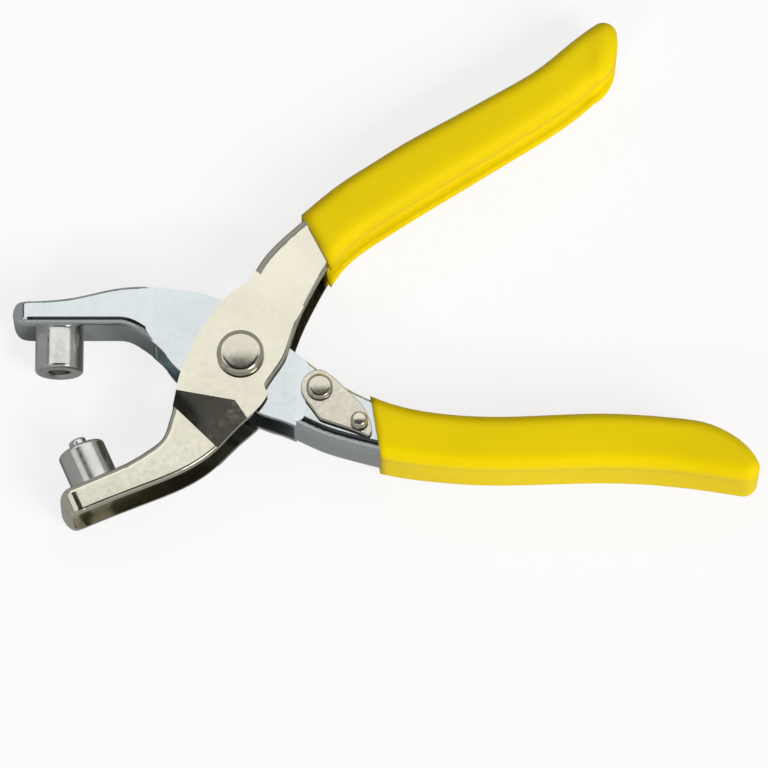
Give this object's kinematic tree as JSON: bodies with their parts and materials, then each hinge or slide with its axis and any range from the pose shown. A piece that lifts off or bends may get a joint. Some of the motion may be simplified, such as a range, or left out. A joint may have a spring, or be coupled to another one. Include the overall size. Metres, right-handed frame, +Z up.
{
  "type": "eyelet pliers",
  "caption": "Hand eyelet-setting pliers: two pressed channel levers on a rivet, anvil and setter dies, return spring, swinging handle latch and dipped vinyl grips.",
  "frame": {"origin": "centre of the flat rear rivet head, on the plane that the tool rests on, on the pivot's axis", "axes": "+Z up along the pivot rivet towards its domed head; jaws point along -X; +Y from the lower handle towards the upper handle"},
  "size_m": [0.1584, 0.1102, 0.0184],
  "materials": {
    "inner_plating": "bright nickel-chrome plate, slightly blue",
    "outer_plating": "bright nickel plate, slightly warm",
    "rivet_plating": "polished nickel plate",
    "latch_plating": "bright nickel plate, tumbled",
    "die_steel": "turned steel, plated",
    "sleeve_steel": "bare turned steel",
    "spring_steel": "oiled spring wire",
    "vinyl": "dipped yellow vinyl, semi-gloss"
  },
  "bodies": {
    "inner": {"inner_lever": "inner_plating", "lower_grip": "vinyl", "anvil_die": "die_steel", "pivot_rivet": "rivet_plating", "spring_sleeve": "sleeve_steel", "spring_coil": "spring_steel", "latch_rivet": "rivet_plating"},
    "outer": {"outer_lever": "outer_plating", "setter_die": "die_steel", "upper_grip": "vinyl", "spring_arm": "spring_steel"},
    "latch": {"latch_plate": "latch_plating", "latch_knob": "rivet_plating"}
  },
  "joints": [
    {"name": "pivot", "type": "hinge", "parent": "inner", "child": "outer", "pos_m": [0, 0, 0.00825], "axis": [0, 0, -1], "range_deg": [0, 23.9], "stiffness_Nm_per_rad": 0.8, "springref_deg": -20.05},
    {"name": "latch_swing", "type": "hinge", "parent": "inner", "child": "latch", "pos_m": [0.0168, -0.00755, 0.00825], "axis": [0, 0, -1], "range_deg": [0, 110]}
  ]
}
